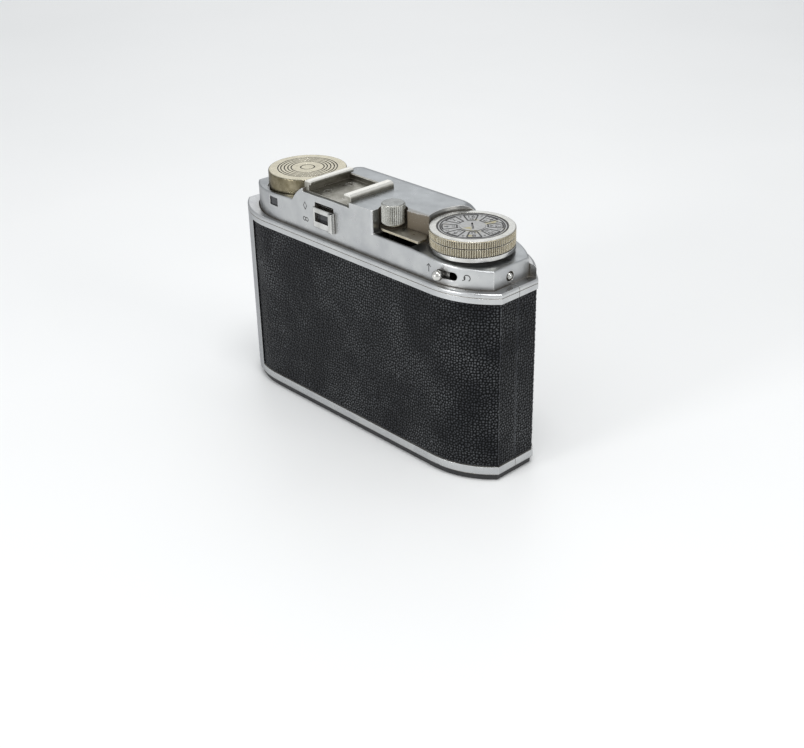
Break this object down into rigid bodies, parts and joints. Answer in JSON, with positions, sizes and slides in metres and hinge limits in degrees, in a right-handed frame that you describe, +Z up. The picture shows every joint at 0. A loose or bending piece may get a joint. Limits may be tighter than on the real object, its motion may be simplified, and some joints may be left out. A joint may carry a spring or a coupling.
{
  "type": "folding film camera",
  "caption": "Compact folding 35 mm film camera, closed: chrome body with black leather, winding knobs, finder and shoe on top, hinged back, front door over a bellows lens.",
  "frame": {"origin": "centre of the base plate's flat underside, where the closed camera stands", "axes": "+Z up; -Y out of the front door along the lens axis; +Y out of the back cover; +X towards the rewind knob and the back hinge"},
  "size_m": [0.1229, 0.0405, 0.082],
  "materials": {
    "satin_chrome": "satin chrome plate",
    "bright_chrome": "polished chrome plate",
    "nickel": "aged nickel plate, warm tarnish",
    "knob_top": "turned nickel, slightly yellowed",
    "leather": "black pebbled leather, slight sheen",
    "black_frame": "matt black lacquer",
    "black_gloss": "gloss black enamel",
    "spring_steel": "blued spring steel",
    "steel": "turned steel",
    "brass": "turned brass",
    "optical_glass": "polished optical glass",
    "mirror": "silvered glass",
    "bellows_leather": "thin matt black bellows leather",
    "dial_face": "etched dial, filled black"
  },
  "bodies": {
    "camera_body": {"top_deck": "black_frame", "bottom_deck": "black_frame", "film_frame": "black_frame", "film_chambers": "black_frame", "front_shell": "satin_chrome", "front_leather": "leather", "base_plate": "black_frame", "tripod_bush": "bright_chrome", "base_screws": "bright_chrome", "top_housing": "satin_chrome", "accessory_shoe": "bright_chrome", "shoe_screws": "bright_chrome", "front_windows": "optical_glass", "rangefinder_eyepiece": "optical_glass", "rangefinder_mirrors": "mirror", "viewfinder_front_lens": "optical_glass", "advance_bush": "brass", "rewind_bush": "brass", "back_hinge_pin": "steel", "door_hinge_pin": "steel", "bellows": "bellows_leather"},
    "back_cover": {"back_cover": "satin_chrome", "back_leather": "leather", "pressure_plate": "black_gloss", "pressure_springs": "spring_steel", "back_catch": "steel"},
    "back_release": {"back_release_button": "bright_chrome"},
    "front_door": {"front_door": "black_gloss", "door_leather": "leather", "door_stays": "bright_chrome"},
    "door_latch": {"door_latch": "bright_chrome"},
    "struts": {"lens_struts": "bright_chrome"},
    "lens_standard": {"lens_standard": "black_gloss", "shutter_housing": "black_gloss", "lens_barrel": "brass", "shutter_blades": "spring_steel", "aperture_blades": "spring_steel", "rear_lens_cell": "black_gloss", "rear_lens_glass": "optical_glass", "shutter_face_plate": "black_gloss"},
    "speed_ring": {"speed_ring": "bright_chrome"},
    "aperture_ring": {"aperture_ring": "bright_chrome"},
    "focus_ring": {"focus_ring": "bright_chrome", "front_lens_glass": "optical_glass"},
    "cocking_lever": {"cocking_lever": "bright_chrome"},
    "advance_knob": {"advance_knob": "nickel", "depth_dial": "dial_face", "dial_screw": "dial_face", "advance_shaft": "steel", "take_up_spool": "black_gloss"},
    "frame_counter": {"frame_counter_ring": "bright_chrome"},
    "sprocket": {"sprocket": "steel"},
    "rewind_lift": {"rewind_sleeve": "brass"},
    "rewind_knob": {"rewind_knob": "knob_top", "rewind_shaft": "steel"},
    "viewfinder_slide": {"viewfinder_slide": "bright_chrome", "viewfinder_eyepiece": "optical_glass"},
    "rewind_selector": {"rewind_selector": "bright_chrome"},
    "release_button": {"release_button": "bright_chrome", "release_arm": "nickel"}
  },
  "joints": [
    {"name": "back_cover_hinge", "type": "hinge", "parent": "camera_body", "child": "back_cover", "pos_m": [0.061, 0.0003, 0.0332], "axis": [0, 0, -1], "range_deg": [0, 115]},
    {"name": "back_release_press", "type": "slide", "parent": "camera_body", "child": "back_release", "axis": [1, 0, 0], "range_m": [0, 0.001], "stiffness_N_per_m": 600, "springref_m": -0.002},
    {"name": "front_door_hinge", "type": "hinge", "parent": "camera_body", "child": "front_door", "pos_m": [0, -0.0194, 0.0076], "axis": [1, 0, 0], "range_deg": [0, 90]},
    {"name": "lens_standard_slide", "type": "slide", "parent": "camera_body", "child": "lens_standard", "axis": [0, -1, 0], "range_m": [0, 0.027], "deforming": ["bellows"]},
    {"name": "strut_swing", "type": "hinge", "parent": "camera_body", "child": "struts", "pos_m": [0, -0.0158, 0.0535], "axis": [-1, 0, 0], "range_deg": [0, 88]},
    {"name": "door_latch_press", "type": "slide", "parent": "camera_body", "child": "door_latch", "axis": [0, 1, 0], "range_m": [0, 0.0006], "stiffness_N_per_m": 600, "springref_m": -0.002},
    {"name": "speed_ring_turn", "type": "hinge", "parent": "lens_standard", "child": "speed_ring", "pos_m": [0, -0.0135, 0.0332], "axis": [0, 1, 0], "range_deg": [-75, 75]},
    {"name": "aperture_ring_turn", "type": "hinge", "parent": "lens_standard", "child": "aperture_ring", "pos_m": [0, -0.015, 0.0332], "axis": [0, 1, 0], "range_deg": [-45, 45]},
    {"name": "focus_ring_turn", "type": "hinge", "parent": "lens_standard", "child": "focus_ring", "pos_m": [0, -0.017, 0.0332], "axis": [0, 1, 0], "range_deg": [0, 270]},
    {"name": "cocking_lever_swing", "type": "hinge", "parent": "lens_standard", "child": "cocking_lever", "pos_m": [0.0162, -0.015, 0.0412], "axis": [0, 1, 0], "range_deg": [-30, 0], "stiffness_Nm_per_rad": 0.004, "springref_deg": 11.46},
    {"name": "advance_knob_turn", "type": "hinge", "parent": "camera_body", "child": "advance_knob", "pos_m": [-0.0407, 0, 0.07], "axis": [0, 0, 1], "continuous": true},
    {"name": "frame_counter_turn", "type": "hinge", "parent": "camera_body", "child": "frame_counter", "pos_m": [-0.0407, 0, 0.0727], "axis": [0, 0, 1], "continuous": true},
    {"name": "sprocket_turn", "type": "hinge", "parent": "camera_body", "child": "sprocket", "pos_m": [-0.0265, 0.0061, 0.0332], "axis": [0, 0, 1], "continuous": true},
    {"name": "rewind_lift", "type": "slide", "parent": "camera_body", "child": "rewind_lift", "axis": [0, 0, 1], "range_m": [0, 0.005]},
    {"name": "rewind_knob_turn", "type": "hinge", "parent": "rewind_lift", "child": "rewind_knob", "pos_m": [0.0365, 0, 0.075], "axis": [0, 0, 1], "continuous": true},
    {"name": "viewfinder_slide_lift", "type": "slide", "parent": "camera_body", "child": "viewfinder_slide", "axis": [0, 0, 1], "range_m": [0, 0.0018]},
    {"name": "rewind_selector_swing", "type": "hinge", "parent": "camera_body", "child": "rewind_selector", "pos_m": [-0.038, -0.01211, 0.0677], "axis": [0, 0, 1], "range_deg": [0, 8]},
    {"name": "release_press", "type": "slide", "parent": "camera_body", "child": "release_button", "axis": [0, 0, -1], "range_m": [0, 0.0013], "stiffness_N_per_m": 700, "springref_m": -0.002}
  ],
  "couplings": [
    {"joint": "lens_standard_slide", "follows": "front_door_hinge", "m_per_rad": 0.017189},
    {"joint": "strut_swing", "follows": "front_door_hinge", "ratio": 0.97778},
    {"joint": "frame_counter_turn", "follows": "advance_knob_turn", "ratio": 0.025},
    {"joint": "sprocket_turn", "follows": "advance_knob_turn", "ratio": 1}
  ]
}
